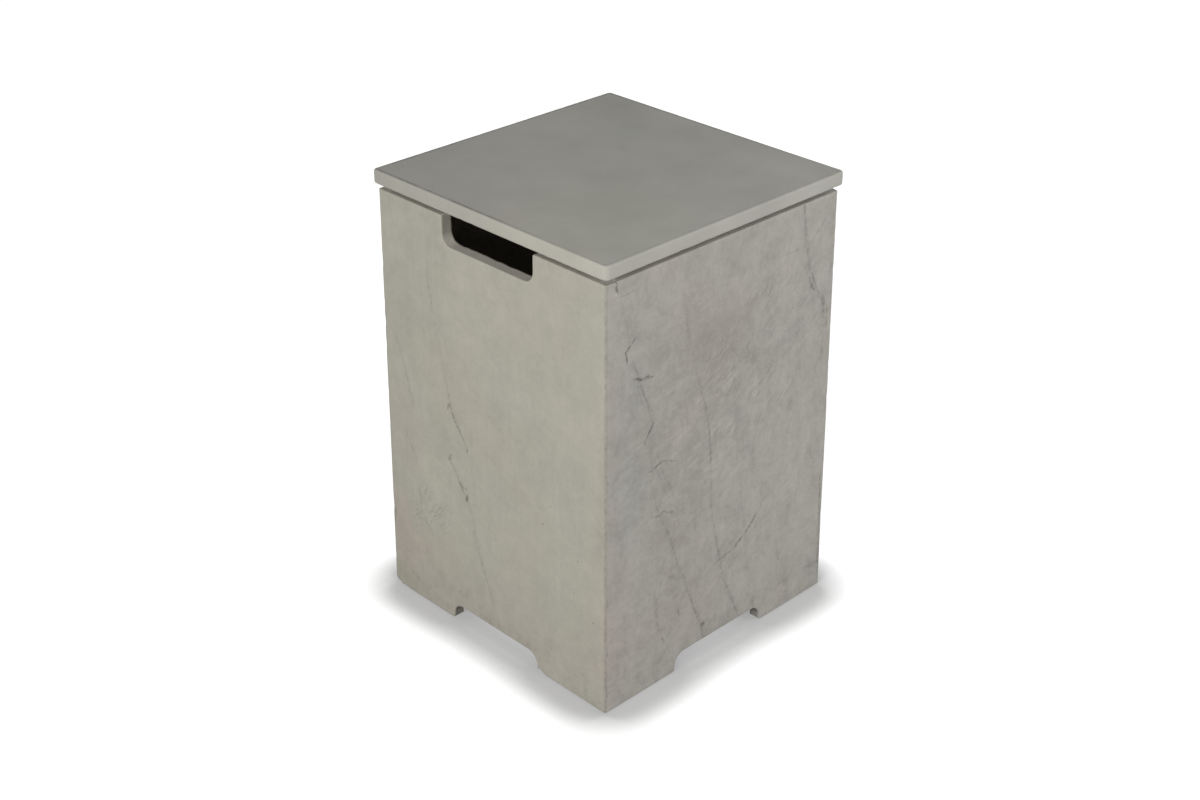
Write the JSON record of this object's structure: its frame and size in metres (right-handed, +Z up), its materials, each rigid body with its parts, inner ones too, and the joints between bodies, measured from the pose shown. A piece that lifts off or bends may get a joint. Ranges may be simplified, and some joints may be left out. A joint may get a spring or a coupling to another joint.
{
  "type": "propane tank cover table",
  "caption": "Square cast cement cover that drops over a gas bottle, with hand slots at the rim, foot notches for the hose, and a loose slab lid that serves as a side table top.",
  "frame": {"origin": "centre of the footprint, at floor level", "axes": "+Z up, -Y out of the front wall, which has a hand slot, and +X to the right seen from the front"},
  "size_m": [0.405, 0.405, 0.597],
  "materials": {
    "shell_cement": "matte cast cement, warm grey, with film creases and trowel streaks",
    "lid_cement": "smooth matte cast cement, warm grey",
    "black_rubber": "matte",
    "clear_rubber": "satin, milky"
  },
  "bodies": {
    "cover": {"shell": "shell_cement", "foot_pad_front_left": "black_rubber", "foot_pad_front_right": "black_rubber", "foot_pad_back_left": "black_rubber", "foot_pad_back_right": "black_rubber", "rim_bumper_front_left": "clear_rubber", "rim_bumper_front_right": "clear_rubber", "rim_bumper_back_left": "clear_rubber", "rim_bumper_back_right": "clear_rubber"},
    "lid": {"lid": "lid_cement", "lid_locator_front_left": "black_rubber", "lid_locator_front_right": "black_rubber", "lid_locator_back_left": "black_rubber", "lid_locator_back_right": "black_rubber"}
  },
  "joints": [
    {"name": "lid_lift", "type": "slide", "parent": "cover", "child": "lid", "axis": [0, 0, 1], "range_m": [0, 0.25]}
  ]
}
